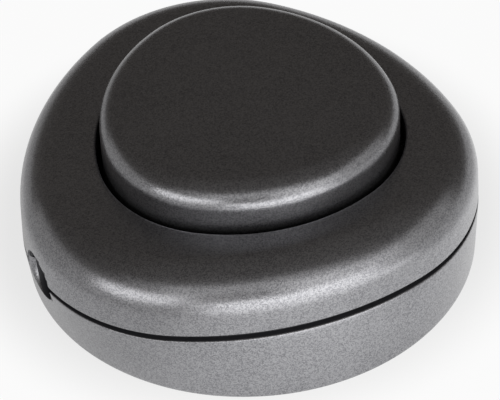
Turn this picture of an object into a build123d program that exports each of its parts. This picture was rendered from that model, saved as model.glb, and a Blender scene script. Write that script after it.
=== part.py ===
from build123d import *

import os
from math import atan2, cos, degrees, radians, sin, sqrt

# Foot switch for a lamp lead: two moulded shells and a push button over a push-on, push-off mechanism.
# Millimetres, +Z up. The origin is on the floor, on the axis of the round foot, the rotor and the button.
# One corner of the body points to +Y, its flat side to -Y, and the lead runs through along X.

# Body outline: round at the foot, three-cornered from the parting line upwards
foot_radius = 34.8
body_corner_reach = 36.6
body_side_drop = 3.5
body_corner_offset = 10.6
body_shift_x = -1.25
corner_angles = (90, 210, 330)

# Shells
parting_height = 11.5
cover_height = 11.1
shoulder_radius = 6.6
cover_draft = 0.3
wall = 2.2
floor_thickness = 2.2
lip_inset = 1.0
lip_height = 1.8
lip_clearance = 0.2
gap_front = 1.15
gap_back = 0.1

# Fits between pieces
fixed_clearance = 0.05
moving_clearance = 0.3

# Lead inlets and their clamps
cord_bore_radius = 3.8
cord_axis_y = -9.5
inlet_ring = 1.8
inlet_depth = 2.6
base_flare = 1.6
cover_flare = 0.5
clamp_width = 4.2
clamp_wall = 1.0
clamp_leg = 4.2
clamp_bite = 0.3
clamp_stand_off = 4.2
clamp_seat_drop = 1.0

# Button and the opening it moves in
opening_land = 12.4
opening_side_drop = 1.5
opening_corner_offset = 5.3
opening_edge = 0.4
collar_wall = 1.6
collar_depth = 5.3
button_gap = 0.8
button_stand = 7.8
button_travel = 4.0
button_wall = 1.8
button_top_thickness = 2.4
button_dome_radius = 300.0
button_edge_radius = 3.6
lug_reach = 0.7
lug_width = 4.0
lug_height = 1.4

# Rotor and plunger
ramp_count = 4
ramp_turn = 45.0
ramp_margin = 2.0
ramp_sections = 5
finger_span = 16.0
ring_inner_radius = 4.6
ring_outer_radius = 7.6
pin_radius = 1.5
pin_depth = 2.7
pin_chamfer = 0.3
hub_wall = 2.1
hub_boss_radius = 4.5
hub_boss_height = 1.2
hub_rise = 3.2
washer_thickness = 0.5
clip_thickness = 0.5
clip_slits = 3
pin_stub = 1.1
rotor_play = 0.1
rotor_plate = 1.5
rotor_rim = 0.9
plunger_plate = 1.6
plunger_rim = 0.6
shank_radius = 4.0
shank_length = 4.5
boss_wall = 1.8
stop_clearance = 0.4

# Return spring and guide bridge
spring_wire = 1.2
spring_turns = 5
spring_clearance = 1.2
spring_ring_height = 2.4
bridge_thickness = 2.0
bridge_rise = 0.6
bridge_rim = 1.4
bridge_post_radius = 2.7
bridge_post_clearance = 0.9

# Contacts and terminals
contact_thickness = 0.8
contact_arm_width = 4.4
contact_ring = 2.6
contact_overhang = 2.0
contact_step = 0.2
tongue_thickness = 0.6
tongue_width = 4.0
rivet_radius = 1.6
rivet_height = 0.6
block_length = 6.6
block_depth = 6.5
block_height = 6.5
block_offset_x = 11.4
wire_bore_radius = 1.4
wire_bore_height = 3.4
link_depth = 5.5
link_gap = 1.3
neutral_length = 19.0
earth_length = 14.0
link_screw_inset = 3.0
pocket_wall = 1.0
pocket_height = 2.4

# Screws
cover_post_inset = 6.1
cover_post_radius = 2.6
cover_boss_wall = 1.4
cover_boss_drop = 2.0
cover_boss_roof = 3.0
thread_radius = 1.45
screw_head_radius = 2.4
screw_head_height = 1.5
slot_width = 0.7
slot_depth = 0.7
terminal_screw_radius = 1.4
small_screw_radius = 1.2
small_screw_head_radius = 2.2
clamp_screw_head_radius = 1.7

# Heights worked out from the floor upwards
floor_top = floor_thickness
hub_boss_top = floor_top + hub_boss_height
rotor_bottom = hub_boss_top + washer_thickness + rotor_play
contact_bottom = rotor_bottom + contact_step
plate_bottom = contact_bottom + contact_thickness
ramp_bottom = plate_bottom + rotor_plate
ramp_slope = button_travel / ramp_turn
ramp_span = ramp_turn + finger_span + 2 * ramp_margin
ramp_top = ramp_bottom + ramp_slope * ramp_span
hub_top = ramp_bottom + hub_rise
bridge_bottom = ramp_top + bridge_rise
bridge_top = bridge_bottom + bridge_thickness
plunger_bottom = bridge_top + button_travel + stop_clearance
plunger_top = plunger_bottom + plunger_plate
cover_top = parting_height + cover_height
ceiling = cover_top - wall
collar_bottom = cover_top - collar_depth
lug_top = collar_bottom - moving_clearance
skirt_bottom = lug_top - lug_height
button_top = cover_top + button_stand
button_underside = button_top - button_top_thickness
cover_boss_top = parting_height - cover_boss_drop
clamp_seat = parting_height - clamp_seat_drop
clamp_bore_radius = cord_bore_radius - clamp_bite
clamp_top = parting_height + clamp_bore_radius + clamp_wall
clamp_head_seat = clamp_top - screw_head_height
block_top = floor_top + block_height
rivet_top = contact_bottom - moving_clearance
tongue_top = rivet_top - rivet_height

# Radii and places worked out from the axis outwards
body_side_reach = body_corner_reach - body_side_drop
body_corner_radius = body_corner_reach - body_corner_offset
opening_corner_reach = body_corner_reach - opening_land
opening_side_reach = opening_corner_reach - opening_side_drop
opening_corner_radius = opening_corner_reach - opening_corner_offset
hub_radius = pin_radius + hub_wall
rotor_radius = ring_outer_radius + rotor_rim
contact_tip_radius = rotor_radius + contact_overhang
bridge_post_x = contact_tip_radius + bridge_post_clearance + bridge_post_radius
plunger_radius = ring_outer_radius + plunger_rim
spring_radius = plunger_radius + spring_clearance + spring_wire / 2
bridge_radius = spring_radius + spring_wire / 2 + bridge_rim
contact_y = (rotor_radius + contact_tip_radius) / 2
block_y = contact_y + block_depth / 2 - tongue_width / 2
tongue_length = block_offset_x + rivet_radius + tongue_thickness
neutral_y = block_y + block_depth / 2 + link_gap + link_depth / 2
earth_y = neutral_y + link_depth + link_gap
cover_post_reach = body_side_reach - cover_post_inset
clamp_half_length = cord_bore_radius + clamp_leg
clamp_screw_y = cord_bore_radius + clamp_leg / 2


def corner_arcs(corner_reach, side_reach, corner_radius):
    """Size the six tangent arcs of a rounded triangle.

    Gives the corner centres' distance, the side centres' distance, the side radius and half a corner's angle.
    """
    corner_distance = corner_reach - corner_radius
    spread = side_reach**2 + corner_distance**2 - corner_distance * side_reach - corner_radius**2
    side_radius = spread / (2 * side_reach - 2 * corner_radius - corner_distance)
    side_distance = side_radius - side_reach
    half_angle = degrees(atan2(side_distance * sin(radians(60)), corner_distance + side_distance / 2))
    return corner_distance, side_distance, side_radius, half_angle


def polar(distance, angle, center_x=0.0):
    """Point at a distance and an angle in degrees from a centre on the X axis."""
    return (center_x + distance * cos(radians(angle)), distance * sin(radians(angle)))


def arc_face(center_x, corner_distance, corner_radius, side_distance, side_radius, half_angle):
    """Face inside three corner arcs and three side arcs, for the sketch that is open."""
    with BuildLine() as outline:
        for angle in corner_angles:
            corner = polar(corner_distance, angle, center_x)
            CenterArc(corner, corner_radius, angle - half_angle, 2 * half_angle)
            side = polar(side_distance, angle + 240, center_x)
            CenterArc(side, side_radius, angle + half_angle, 120 - 2 * half_angle)
    make_face(outline.edges())


body_corner_distance, body_side_distance, body_side_radius, body_half_angle = corner_arcs(
    body_corner_reach, body_side_reach, body_corner_radius
)
opening_corner_distance, opening_side_distance, opening_side_radius, opening_half_angle = corner_arcs(
    opening_corner_reach, opening_side_reach, opening_corner_radius
)


def body_face(blend, inset):
    """Body section, from the round foot (blend 0) to the three-cornered parting line (blend 1)."""
    arc_face(
        blend * body_shift_x,
        blend * body_corner_distance,
        foot_radius + blend * (body_corner_radius - foot_radius) - inset,
        blend * body_side_distance,
        foot_radius + blend * (body_side_radius - foot_radius) - inset,
        body_half_angle,
    )


def opening_face(growth):
    """Outline of the button's opening, grown outwards or, where negative, shrunk."""
    arc_face(
        0.0,
        opening_corner_distance,
        opening_corner_radius + growth,
        opening_side_distance,
        opening_side_radius + growth,
        opening_half_angle,
    )


def wall_x(side, inset, y):
    """X of the body's wall at the parting line, left (side -1) or right (side 1), inset from outside."""
    corner_x, corner_y = polar(body_corner_distance, corner_angles[2])
    reach = corner_x + sqrt((body_corner_radius - inset) ** 2 - (y - corner_y) ** 2)
    return body_shift_x + side * reach


def ring_sector(inner, outer, start, span, mode):
    """Face of part of a ring, for the sketch that is open."""
    with BuildLine() as outline:
        CenterArc((0, 0), outer, start, span)
        CenterArc((0, 0), inner, start, span)
        Line(polar(inner, start), polar(outer, start))
        Line(polar(inner, start + span), polar(outer, start + span))
    make_face(outline.edges(), mode=mode)


def helical_sector(start, span, flat_z, flank_z):
    """Sector of the tooth ring between a flat face and a helical flank that climbs with the angle."""
    with BuildPart() as sector:
        for step in range(ramp_sections + 1):
            angle = start + span * step / ramp_sections
            height = flank_z + ramp_slope * angle - flat_z
            radial = Vector(*polar(1, angle))
            section = Plane((0, 0, 0), x_dir=radial, z_dir=radial.cross(Vector(0, 0, 1)))
            with BuildSketch(section):
                with Locations(((ring_inner_radius + ring_outer_radius) / 2, flat_z + height / 2)):
                    Rectangle(ring_outer_radius, abs(height))
        loft(ruled=True)
        with BuildSketch():
            Circle(ring_outer_radius)
            Circle(ring_inner_radius, mode=Mode.SUBTRACT)
        extrude(amount=plunger_top, mode=Mode.INTERSECT)
    return sector


def screws(places, seat, head_radius, shank, length, head_up=True):
    """Slotted screws, one at each place, with the underside of the head on the seat."""
    up = 1 if head_up else -1
    with BuildPart() as group:
        with BuildSketch(Plane.XY.offset(seat)):
            with Locations(*places):
                Circle(head_radius)
        extrude(amount=up * screw_head_height)
        with BuildSketch(Plane.XY.offset(seat + up * screw_head_height)):
            with Locations(*places):
                Rectangle(2 * (head_radius + slot_width), slot_width)
        extrude(amount=-up * slot_depth, mode=Mode.SUBTRACT)
        with BuildSketch(Plane.XY.offset(seat)):
            with Locations(*places):
                Circle(shank)
        extrude(amount=-up * length)
    return group


def inlet_cutter(side, flare):
    """Bore of a lead inlet, with a bell mouth at the wall's outer face."""
    mouth = Plane(
        (wall_x(side, 0, cord_axis_y), cord_axis_y, parting_height),
        x_dir=(side, 0, 0),
        z_dir=(0, -side, 0),
    )
    length = wall + inlet_depth + clamp_stand_off
    with BuildPart() as cutter:
        with BuildSketch(mouth):
            with BuildLine():
                Polyline((-flare, cord_bore_radius), (-length, cord_bore_radius), (-length, 0), (flare, 0))
                Polyline((flare, 0), (flare, cord_bore_radius + flare), (0, cord_bore_radius + flare))
                CenterArc((-flare, cord_bore_radius + flare), flare, 270, 90)
            make_face()
        revolve(axis=Axis(mouth.origin, mouth.x_dir))
    return cutter


# Places that several pieces share
cover_screw_places = [polar(cover_post_reach, angle + 60, body_shift_x) for angle in corner_angles]
bridge_screw_places = [(-bridge_post_x, 0), (bridge_post_x, 0)]
clamp_x = {
    side: wall_x(side, wall, cord_axis_y) - side * (clamp_stand_off + clamp_width / 2) for side in (-1, 1)
}
clamp_screw_places = [
    (clamp_x[side], cord_axis_y + offset) for side in (-1, 1) for offset in (-clamp_screw_y, clamp_screw_y)
]
finger_start = ramp_span - ramp_margin - finger_span
live_places = [(-block_offset_x, -block_y), (block_offset_x, block_y)]
link_sizes = {neutral_y: neutral_length, earth_y: earth_length}
link_screw_places = [
    (side * (length / 2 - link_screw_inset), y) for y, length in link_sizes.items() for side in (-1, 1)
]

# Room inside the base, around the posts and bosses that stand up from its floor
with BuildPart() as base_room:
    with BuildSketch(Plane.XY.offset(floor_top)):
        body_face(floor_top / parting_height, wall)
    with BuildSketch(Plane.XY.offset(parting_height)):
        body_face(1.0, wall)
    loft(ruled=True)
    with BuildSketch(Plane.XY.offset(parting_height)):
        body_face(1.0, wall)
    extrude(amount=bridge_top)
    with BuildSketch(Plane.XY.offset(floor_top)):
        with Locations(*cover_screw_places):
            Circle(cover_post_radius + cover_boss_wall)
    extrude(amount=cover_boss_top - floor_top, mode=Mode.SUBTRACT)
    with BuildSketch(Plane.XY.offset(floor_top)):
        with Locations(*clamp_screw_places):
            Circle(clamp_width / 2)
    extrude(amount=clamp_seat - floor_top, mode=Mode.SUBTRACT)
    with BuildSketch(Plane.XY.offset(floor_top)):
        with Locations(*bridge_screw_places):
            Circle(bridge_post_radius)
    extrude(amount=bridge_bottom - floor_top, mode=Mode.SUBTRACT)
    with BuildSketch(Plane.XY.offset(floor_top)):
        Circle(hub_boss_radius)
    extrude(amount=hub_boss_height, mode=Mode.SUBTRACT)
    with BuildSketch(Plane.XY.offset(floor_top)):
        with Locations(*live_places):
            Rectangle(
                block_length + 2 * (fixed_clearance + pocket_wall),
                block_depth + 2 * (fixed_clearance + pocket_wall),
            )
            Rectangle(
                block_length + 2 * fixed_clearance, block_depth + 2 * fixed_clearance, mode=Mode.SUBTRACT
            )
        with Locations(*[(0, -contact_y), (0, contact_y)]):
            Rectangle(2 * block_offset_x, tongue_width + 2 * moving_clearance, mode=Mode.SUBTRACT)
    extrude(amount=pocket_height, mode=Mode.SUBTRACT)
    with BuildSketch(Plane.XY.offset(floor_top)):
        for y, length in link_sizes.items():
            with Locations((0, y)):
                Rectangle(
                    length + 2 * (fixed_clearance + pocket_wall),
                    link_depth + 2 * (fixed_clearance + pocket_wall),
                )
        for y, length in link_sizes.items():
            with Locations((0, y)):
                Rectangle(length + 2 * fixed_clearance, link_depth + 2 * fixed_clearance, mode=Mode.SUBTRACT)
    extrude(amount=pocket_height, mode=Mode.SUBTRACT)
    for side in (-1, 1):
        with BuildSketch(Plane.YZ.offset(wall_x(side, wall + inlet_depth, cord_axis_y))):
            with Locations((cord_axis_y, parting_height)):
                Circle(cord_bore_radius + inlet_ring)
        extrude(amount=side * (wall + inlet_depth), mode=Mode.SUBTRACT)

# Base: lower shell with the foot, the lip that the cover fits over and the carriers of the mechanism
with BuildPart() as base:
    with BuildSketch():
        body_face(0.0, 0.0)
    with BuildSketch(Plane.XY.offset(parting_height)):
        body_face(1.0, 0.0)
    loft(ruled=True)
    with BuildSketch(Plane.XY.offset(parting_height)):
        body_face(1.0, lip_inset)
        for side in (-1, 1):
            with Locations((wall_x(side, 0, cord_axis_y), cord_axis_y)):
                Rectangle(
                    2 * (wall + inlet_depth + moving_clearance),
                    2 * (cord_bore_radius + inlet_ring + moving_clearance),
                    mode=Mode.SUBTRACT,
                )
    extrude(amount=lip_height)
    with BuildSketch(Plane.XY.offset(parting_height)):
        with Locations(*bridge_screw_places):
            Circle(bridge_post_radius)
    extrude(amount=bridge_bottom - parting_height)
    add(base_room.part, mode=Mode.SUBTRACT)
    with Locations(*[(x, y, cover_boss_top) for x, y in cover_screw_places]):
        Hole(thread_radius + fixed_clearance)
    with BuildSketch():
        with Locations(*cover_screw_places):
            Circle(screw_head_radius + moving_clearance)
    extrude(amount=cover_boss_top - cover_boss_roof, mode=Mode.SUBTRACT)
    with Locations(*[(x, y, bridge_bottom) for x, y in bridge_screw_places]):
        Hole(small_screw_radius + fixed_clearance, depth=bridge_bottom - floor_top)
    with Locations(*[(x, y, clamp_seat) for x, y in clamp_screw_places]):
        Hole(small_screw_radius + fixed_clearance, depth=clamp_seat - floor_top)
    with Locations((0, 0, hub_boss_top)):
        Hole(pin_radius + fixed_clearance, depth=pin_depth)
    for side in (-1, 1):
        add(inlet_cutter(side, base_flare).part, mode=Mode.SUBTRACT)

# Room inside the cover, under the top and behind the rebate for the base's lip
with BuildPart() as cover_room:
    with BuildSketch(Plane.XY.offset(parting_height)):
        body_face(1.0, wall)
    with BuildSketch(Plane.XY.offset(ceiling)):
        body_face(1.0, wall + cover_draft)
    loft(ruled=True)
    fillet(cover_room.faces().sort_by(Axis.Z)[-1].edges(), shoulder_radius - wall)
    with BuildSketch(Plane.XY.offset(parting_height)):
        body_face(1.0, lip_inset - lip_clearance)
    extrude(amount=lip_height + gap_front)
    for side in (-1, 1):
        with BuildSketch(Plane.YZ.offset(wall_x(side, wall + inlet_depth, cord_axis_y))):
            with Locations((cord_axis_y, parting_height)):
                Circle(cord_bore_radius + inlet_ring)
        extrude(amount=side * (wall + inlet_depth), mode=Mode.SUBTRACT)

# The cover's rim is trimmed by a plane, so that the parting gap is widest at the flat side
rim_slope = (gap_back - gap_front) / (body_corner_reach + body_side_reach)
rim_plane = Plane(
    (0, body_corner_reach, parting_height + gap_back), x_dir=(1, 0, 0), z_dir=(0, -rim_slope, 1)
)

# Cover: upper shell with the shoulder, the button's opening and its collar, and three screw posts
with BuildPart() as cover:
    with BuildSketch(Plane.XY.offset(parting_height)):
        body_face(1.0, 0.0)
    with BuildSketch(Plane.XY.offset(cover_top)):
        body_face(1.0, cover_draft)
    loft(ruled=True)
    fillet(cover.faces().sort_by(Axis.Z)[-1].edges(), shoulder_radius)
    add(cover_room.part, mode=Mode.SUBTRACT)
    split(bisect_by=rim_plane, keep=Keep.TOP)
    with BuildSketch(Plane.XY.offset(cover_boss_top + fixed_clearance)):
        with Locations(*cover_screw_places):
            Circle(cover_post_radius)
    extrude(amount=ceiling - cover_boss_top)
    with BuildSketch(Plane.XY.offset(collar_bottom)):
        opening_face(collar_wall)
    extrude(amount=collar_depth - wall / 2)
    with BuildSketch(Plane.XY.offset(collar_bottom)):
        opening_face(0.0)
    extrude(amount=collar_depth, mode=Mode.SUBTRACT)
    chamfer(cover.faces().sort_by(Axis.Z)[-1].inner_wires()[0].edges(), opening_edge)
    with BuildSketch(Plane.XY.offset(cover_boss_top)):
        with Locations(*cover_screw_places):
            Circle(thread_radius + fixed_clearance)
    extrude(amount=ceiling - cover_boss_top - wall, mode=Mode.SUBTRACT)
    for side in (-1, 1):
        add(inlet_cutter(side, cover_flare).part, mode=Mode.SUBTRACT)

# Button: domed cap with a skirt, a boss for the plunger, a ring round the spring and three retaining lugs
with BuildPart() as button:
    with BuildSketch(Plane.XY.offset(skirt_bottom)):
        opening_face(-button_gap)
    extrude(amount=button_top + button_gap - skirt_bottom)
    with Locations((0, 0, button_top - button_dome_radius)):
        Sphere(button_dome_radius, mode=Mode.INTERSECT)
    fillet(button.faces().sort_by(Axis.Z)[-1].edges(), button_edge_radius)
    with BuildSketch(Plane.XY.offset(skirt_bottom)):
        opening_face(-button_gap - button_wall)
    extrude(amount=button_underside - skirt_bottom, mode=Mode.SUBTRACT)
    with BuildSketch(Plane.XY.offset(plunger_top)):
        Circle(shank_radius + fixed_clearance + boss_wall)
        Circle(shank_radius + fixed_clearance, mode=Mode.SUBTRACT)
    extrude(amount=button_underside - plunger_top)
    with BuildSketch(Plane.XY.offset(button_underside - spring_ring_height)):
        Circle(spring_radius + spring_wire / 2 + moving_clearance + boss_wall)
        Circle(spring_radius + spring_wire / 2 + moving_clearance, mode=Mode.SUBTRACT)
    extrude(amount=spring_ring_height)
    with BuildSketch(Plane.XY.offset(skirt_bottom)):
        lug_end = opening_corner_reach + lug_reach
        lug_start = opening_corner_reach - button_gap - button_wall / 2
        with PolarLocations((lug_start + lug_end) / 2, len(corner_angles), corner_angles[0]):
            Rectangle(lug_end - lug_start, lug_width)
    extrude(amount=lug_height)

# Plunger: plate and shank under the button, with four fingers that end in helical flanks
finger = helical_sector(finger_start, finger_span, plunger_bottom, ramp_bottom + moving_clearance)
with BuildPart() as plunger:
    with BuildSketch(Plane.XY.offset(plunger_bottom)):
        Circle(plunger_radius)
    extrude(amount=plunger_plate)
    with BuildSketch(Plane.XY.offset(plunger_top)):
        Circle(shank_radius)
    extrude(amount=shank_length)
    with PolarLocations(0, ramp_count):
        add(finger.part)

# Rotor: plate and hub with four helical ramps, which the fingers push round by an eighth of a turn
ramp = helical_sector(0, ramp_span, plate_bottom, ramp_bottom)
with BuildPart() as rotor:
    with BuildSketch(Plane.XY.offset(plate_bottom)):
        Circle(rotor_radius)
    extrude(amount=rotor_plate)
    with BuildSketch(Plane.XY.offset(rotor_bottom)):
        Circle(hub_radius)
    extrude(amount=hub_top - rotor_bottom)
    with PolarLocations(0, ramp_count):
        add(ramp.part)
    with Locations((0, 0, hub_top)):
        Hole(pin_radius + fixed_clearance)

# Rotor pin: plain steel pin pressed into the base's hub boss
pin_top = hub_top + rotor_play + clip_thickness + pin_stub
with BuildPart() as rotor_pin:
    with BuildSketch(Plane.XY.offset(hub_boss_top - pin_depth + fixed_clearance)):
        Circle(pin_radius)
    extrude(amount=pin_top - hub_boss_top + pin_depth - fixed_clearance)
    chamfer(rotor_pin.edges().sort_by(Axis.Z)[-1], pin_chamfer)

# Thrust washer between the hub boss and the rotor
with BuildPart() as rotor_washer:
    with BuildSketch(Plane.XY.offset(hub_boss_top)):
        Circle(hub_radius)
        Circle(pin_radius + fixed_clearance, mode=Mode.SUBTRACT)
    extrude(amount=washer_thickness)

# Push-on clip over the rotor, with three slits that let its teeth spring over the pin
with BuildPart() as retaining_clip:
    with BuildSketch(Plane.XY.offset(hub_top + rotor_play)):
        Circle(hub_radius)
        Circle(pin_radius + fixed_clearance, mode=Mode.SUBTRACT)
        with PolarLocations(pin_radius, clip_slits):
            Rectangle(hub_wall, slot_width, mode=Mode.SUBTRACT)
    extrude(amount=clip_thickness)

# Return spring: coil between the guide bridge and the underside of the button
spring_bottom = bridge_top + fixed_clearance + spring_wire / 2
spring_pitch = (button_underside - bridge_top - 2 * fixed_clearance - spring_wire) / spring_turns
with BuildPart() as spring_turn:
    with BuildLine() as coil:
        Helix(spring_pitch, spring_pitch, spring_radius, center=(0, 0, spring_bottom))
    with BuildSketch(Plane(coil.line @ 0, z_dir=coil.line % 0)):
        Circle(spring_wire / 2)
    sweep(is_frenet=True)

with BuildPart() as return_spring:
    with Locations(*[(0, 0, turn * spring_pitch) for turn in range(spring_turns)]):
        add(spring_turn.part)

# Guide bridge: plate over the rotor on two posts, with slots that keep the plunger's fingers from turning
slot_slack = degrees(moving_clearance / ring_inner_radius)
with BuildPart() as guide_bridge:
    with BuildSketch(Plane.XY.offset(bridge_bottom)):
        SlotCenterToCenter(2 * bridge_post_x, 2 * bridge_post_radius)
        Circle(bridge_radius)
        for turn in range(ramp_count):
            ring_sector(
                ring_inner_radius - moving_clearance,
                ring_outer_radius + moving_clearance,
                finger_start - slot_slack + turn * 360 / ramp_count,
                finger_span + 2 * slot_slack,
                Mode.SUBTRACT,
            )
    extrude(amount=bridge_thickness)
    with Locations(*[(x, y, bridge_top) for x, y in bridge_screw_places]):
        Hole(small_screw_radius + fixed_clearance)

# Contact bridge: stamped brass ring with two arms, under the rotor's plate
with BuildPart() as contact_bridge:
    with BuildSketch(Plane.XY.offset(contact_bottom)):
        Circle(hub_radius + fixed_clearance + contact_ring)
        Rectangle(contact_arm_width, 2 * contact_tip_radius)
        Circle(hub_radius + fixed_clearance, mode=Mode.SUBTRACT)
    extrude(amount=contact_thickness)

# Live terminals: brass blocks with a wire bore, a screw hole and a tongue that reaches under the rotor
with BuildPart() as live_in_terminal:
    with BuildSketch(Plane.XY.offset(floor_top)):
        with Locations(live_places[0]):
            Rectangle(block_length, block_depth)
    extrude(amount=block_height)
    with BuildSketch(Plane.XY.offset(tongue_top)):
        with Locations((-block_offset_x, -contact_y)):
            Rectangle(tongue_length, tongue_width, align=(Align.MIN, Align.CENTER))
    extrude(amount=-tongue_thickness)
    with BuildSketch(Plane.YZ.offset(-block_offset_x)):
        with Locations((-block_y, floor_top + wire_bore_height)):
            Circle(wire_bore_radius)
    extrude(amount=block_length, both=True, mode=Mode.SUBTRACT)
    with Locations((-block_offset_x, -block_y, block_top)):
        Hole(terminal_screw_radius + fixed_clearance, depth=block_height - wire_bore_height)

with BuildPart() as live_out_terminal:
    add(live_in_terminal.part, rotation=(0, 0, 180))

# Contact rivets on the ends of the two tongues
with BuildPart() as contact_rivets:
    with BuildSketch(Plane.XY.offset(tongue_top)):
        with Locations((0, -contact_y), (0, contact_y)):
            Circle(rivet_radius)
    extrude(amount=rivet_height)


def through_link(y, length):
    """Brass bar that joins two conductors, with a wire bore along it and a screw hole at each end."""
    with BuildPart() as link:
        with BuildSketch(Plane.XY.offset(floor_top)):
            with Locations((0, y)):
                Rectangle(length, link_depth)
        extrude(amount=block_height)
        with BuildSketch(Plane.YZ):
            with Locations((y, floor_top + wire_bore_height)):
                Circle(wire_bore_radius)
        extrude(amount=length, both=True, mode=Mode.SUBTRACT)
        ends = length / 2 - link_screw_inset
        with Locations((-ends, y, block_top), (ends, y, block_top)):
            Hole(terminal_screw_radius + fixed_clearance, depth=block_height - wire_bore_height)
    return link


neutral_link = through_link(neutral_y, neutral_length)
earth_link = through_link(earth_y, earth_length)


def cord_clamp(side):
    """Arched clamp that grips a lead, with sunk screws into the two bosses behind its inlet."""
    with BuildPart() as clamp:
        with BuildSketch(Plane.YZ.offset(clamp_x[side] - clamp_width / 2)):
            with Locations((cord_axis_y, clamp_seat)):
                Rectangle(2 * clamp_half_length, clamp_top - clamp_seat, align=(Align.CENTER, Align.MIN))
            with Locations((cord_axis_y, parting_height)):
                Circle(clamp_bore_radius, mode=Mode.SUBTRACT)
            with Locations((cord_axis_y, clamp_seat)):
                Rectangle(2 * clamp_bore_radius, 2 * clamp_seat_drop, mode=Mode.SUBTRACT)
        extrude(amount=clamp_width)
        fillet(clamp.edges().filter_by(Axis.X).group_by(Axis.Z)[-1], clamp_wall)
        with Locations(*[(clamp_x[side], cord_axis_y + k * clamp_screw_y, clamp_top) for k in (-1, 1)]):
            CounterBoreHole(
                small_screw_radius + fixed_clearance, clamp_screw_head_radius + fixed_clearance, screw_head_height
            )
    return clamp


cord_clamp_left = cord_clamp(-1)
cord_clamp_right = cord_clamp(1)

# Screws
bridge_screws = screws(
    bridge_screw_places, bridge_top, small_screw_head_radius, small_screw_radius, bridge_bottom - floor_top
)
clamp_screws = screws(
    clamp_screw_places,
    clamp_head_seat,
    clamp_screw_head_radius,
    small_screw_radius,
    clamp_head_seat - floor_top - wall,
)
terminal_screws = screws(
    live_places + link_screw_places,
    block_top,
    small_screw_head_radius,
    terminal_screw_radius,
    block_height - wire_bore_height - wire_bore_radius,
)
cover_screws = screws(
    cover_screw_places,
    cover_boss_top - cover_boss_roof,
    screw_head_radius,
    thread_radius,
    cover_boss_roof + cover_height - 2 * wall,
    head_up=False,
)

pieces = {
    "base": base,
    "cover": cover,
    "button": button,
    "plunger": plunger,
    "rotor": rotor,
    "rotor_pin": rotor_pin,
    "rotor_washer": rotor_washer,
    "retaining_clip": retaining_clip,
    "return_spring": return_spring,
    "guide_bridge": guide_bridge,
    "bridge_screws": bridge_screws,
    "contact_bridge": contact_bridge,
    "live_in_terminal": live_in_terminal,
    "live_out_terminal": live_out_terminal,
    "contact_rivets": contact_rivets,
    "neutral_link": neutral_link,
    "earth_link": earth_link,
    "terminal_screws": terminal_screws,
    "cord_clamp_left": cord_clamp_left,
    "cord_clamp_right": cord_clamp_right,
    "clamp_screws": clamp_screws,
    "cover_screws": cover_screws,
}
os.makedirs("parts", exist_ok=True)
for name, piece in pieces.items():
    piece.part.label = name
    export_step(piece.part, f"parts/{name}.step")
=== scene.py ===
import math

import bmesh
import bpy
from mathutils import Matrix, Vector


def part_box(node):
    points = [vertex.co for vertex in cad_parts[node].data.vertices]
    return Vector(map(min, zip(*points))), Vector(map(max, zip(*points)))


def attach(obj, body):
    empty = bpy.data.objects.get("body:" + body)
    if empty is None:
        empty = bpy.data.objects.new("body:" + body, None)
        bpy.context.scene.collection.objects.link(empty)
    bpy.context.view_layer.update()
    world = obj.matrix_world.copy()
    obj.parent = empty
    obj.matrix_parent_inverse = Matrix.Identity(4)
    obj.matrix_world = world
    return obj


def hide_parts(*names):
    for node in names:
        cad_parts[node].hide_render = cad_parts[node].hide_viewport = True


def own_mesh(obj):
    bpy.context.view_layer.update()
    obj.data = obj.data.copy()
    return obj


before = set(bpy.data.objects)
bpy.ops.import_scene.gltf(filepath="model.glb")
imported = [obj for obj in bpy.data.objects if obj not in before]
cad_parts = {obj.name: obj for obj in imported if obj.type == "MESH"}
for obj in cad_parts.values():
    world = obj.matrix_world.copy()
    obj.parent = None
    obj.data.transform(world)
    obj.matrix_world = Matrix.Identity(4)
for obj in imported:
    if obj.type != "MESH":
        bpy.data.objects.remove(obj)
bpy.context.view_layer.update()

# Base. The lower half of the housing, injection-moulded in black ABS and sprayed anthracite outside.
# It is round where it stands and swells to a rounded triangle at the parting line, where a lip centres
# the cover. Two half inlets let the lead through, and three wells underneath take the cover's screws.
# Lengths are written in millimetres, but those of the floor, the lights and the camera's clip in metres
mm = 0.001
foot_radius = 34.8
parting_height = 11.5
body_reach = 36.6
body_drop = 3.5
body_offset = 10.6
body_shift_x = -1.25
foot_edge = 0.6
rim_edge = 0.25
lip_skin = 0.95
lip_top = 13.32
mid_wall = 1.1
# Faces that would lie in one plane are kept this far apart, so that the cuts stay clean
skin = 0.02
weld_distance = 0.001 * mm


def outline(reach, drop, offset):
    """Six tangent arcs of a rounded triangle, with its corners at a reach and its sides a drop nearer."""
    side_radius = reach + drop * (drop + offset) / (offset - 2 * drop)
    side_distance = side_radius - reach + drop
    half_angle = math.atan2(side_distance * math.sin(math.pi / 3), offset + side_distance / 2)
    return {
        "corner_distance": offset,
        "corner_radius": reach - offset,
        "side_distance": side_distance,
        "side_radius": side_radius,
        "half_angle": half_angle,
    }


body = outline(body_reach, body_drop, body_offset)


def body_ring(inset, height, blend=1.0, tilt=0.0):
    """Section of the housing, inset from its skin: round at blend 0, three-cornered at blend 1."""
    return {
        "corner_distance": blend * body["corner_distance"],
        "corner_radius": foot_radius + blend * (body["corner_radius"] - foot_radius) - inset,
        "side_distance": blend * body["side_distance"],
        "side_radius": foot_radius + blend * (body["side_radius"] - foot_radius) - inset,
        "half_angle": body["half_angle"],
        "centre_x": blend * body_shift_x,
        "height": height,
        "tilt": tilt,
        "crown": 0.0,
    }


def base_ring(inset, height):
    """Section of the base, which turns from round at the foot to three-cornered at the parting line."""
    return body_ring(inset, height, min(height / parting_height, 1.0))


def pole(height):
    """Ring drawn together to a point on the axis."""
    return dict.fromkeys(body_ring(0, 0), 0.0) | {"height": height}


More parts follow.
